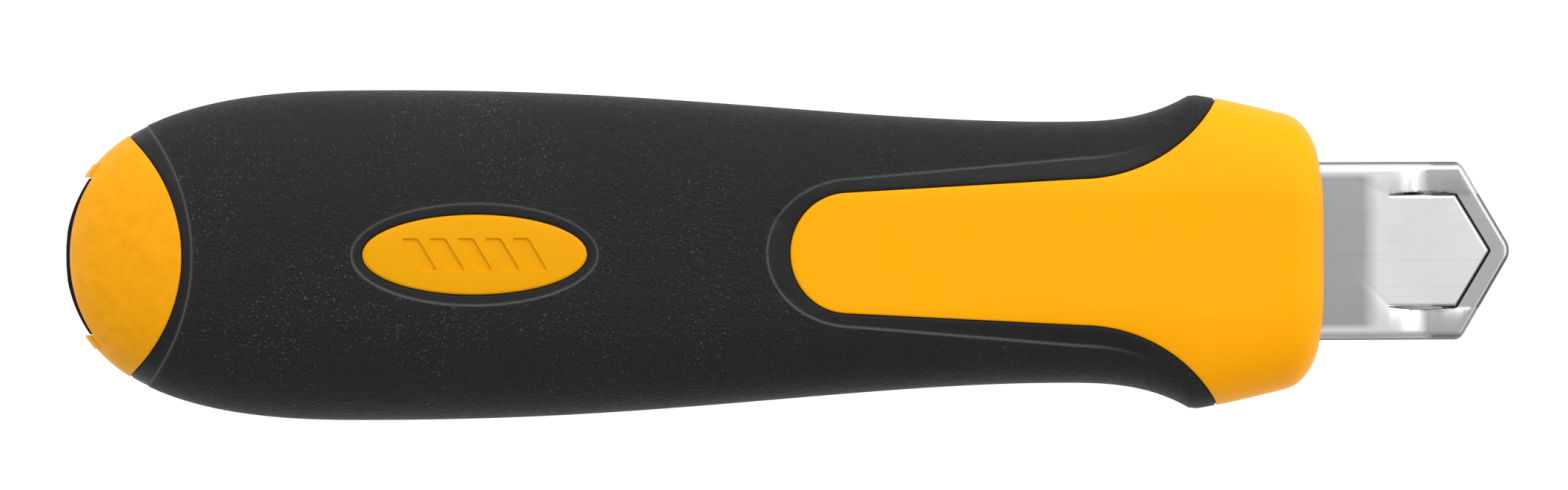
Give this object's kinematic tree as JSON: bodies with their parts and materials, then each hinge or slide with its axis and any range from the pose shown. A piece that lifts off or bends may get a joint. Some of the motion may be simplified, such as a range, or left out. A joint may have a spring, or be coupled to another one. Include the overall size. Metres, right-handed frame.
{
  "type": "utility knife",
  "caption": "Heavy-duty snap-off utility knife: rubber-covered handle, folded steel blade channel, sliding blade carrier and a screw lock wheel; blade drawn in.",
  "frame": {"origin": "on the knife's midline, half way along its length, level with the face of the lock wheel that it stands on", "axes": "+X along the knife towards the blade's tip, +Y across it towards the blade's back, +Z out of the plain back; the knife lies on its slider side"},
  "size_m": [0.2272, 0.052, 0.0351],
  "materials": {
    "handle_core": "fine textured yellow plastic",
    "rubber_grip": "matt black rubber with fine grip texture",
    "front_cover": "fine textured yellow plastic",
    "cover_screws": "dark zinc plated steel",
    "blade_channel": "polished stainless sheet",
    "channel_pins": "plain steel",
    "end_cap": "matt black plastic",
    "slider_body": "matt black plastic",
    "thumb_pad": "matt black rubber",
    "carrier_plate": "plain steel",
    "blade_pin": "plain steel",
    "blade": "ground blade steel",
    "clamp_plate": "plain steel",
    "clamp_stud": "zinc plated steel",
    "ratchet_spring": "spring steel",
    "thrust_washer": "zinc plated steel",
    "lock_wheel": "matt black plastic",
    "wheel_insert": "turned brass",
    "stud_clip": "spring steel",
    "wheel_cap": "fine textured yellow plastic"
  },
  "bodies": {
    "handle": {"handle_core": "handle_core", "rubber_grip": "rubber_grip", "front_cover": "front_cover", "cover_screws": "cover_screws", "blade_channel": "blade_channel", "channel_pins": "channel_pins"},
    "cap": {"end_cap": "end_cap"},
    "slider": {"slider_body": "slider_body", "thumb_pad": "thumb_pad", "carrier_plate": "carrier_plate", "blade_pin": "blade_pin", "blade": "blade", "ratchet_spring": "ratchet_spring", "thrust_washer": "thrust_washer"},
    "clamp": {"clamp_plate": "clamp_plate", "clamp_stud": "clamp_stud", "stud_clip": "stud_clip"},
    "wheel": {"lock_wheel": "lock_wheel", "wheel_insert": "wheel_insert", "wheel_cap": "wheel_cap"}
  },
  "joints": [
    {"name": "blade_slide", "type": "slide", "parent": "handle", "child": "slider", "axis": [1, 0, 0], "range_m": [0, 0.077]},
    {"name": "wheel_turn", "type": "hinge", "parent": "slider", "child": "wheel", "pos_m": [-0.01131, 0, 0.0037], "axis": [0, 0, -1], "range_deg": [0, 270]},
    {"name": "clamp_draw", "type": "slide", "parent": "slider", "child": "clamp", "axis": [0, 0, 1], "range_m": [0, 0.00061]},
    {"name": "cap_pull", "type": "slide", "parent": "handle", "child": "cap", "axis": [-1, 0, 0], "range_m": [0, 0.014]}
  ],
  "couplings": [
    {"joint": "clamp_draw", "follows": "wheel_turn", "m_per_rad": 0.00012732}
  ]
}
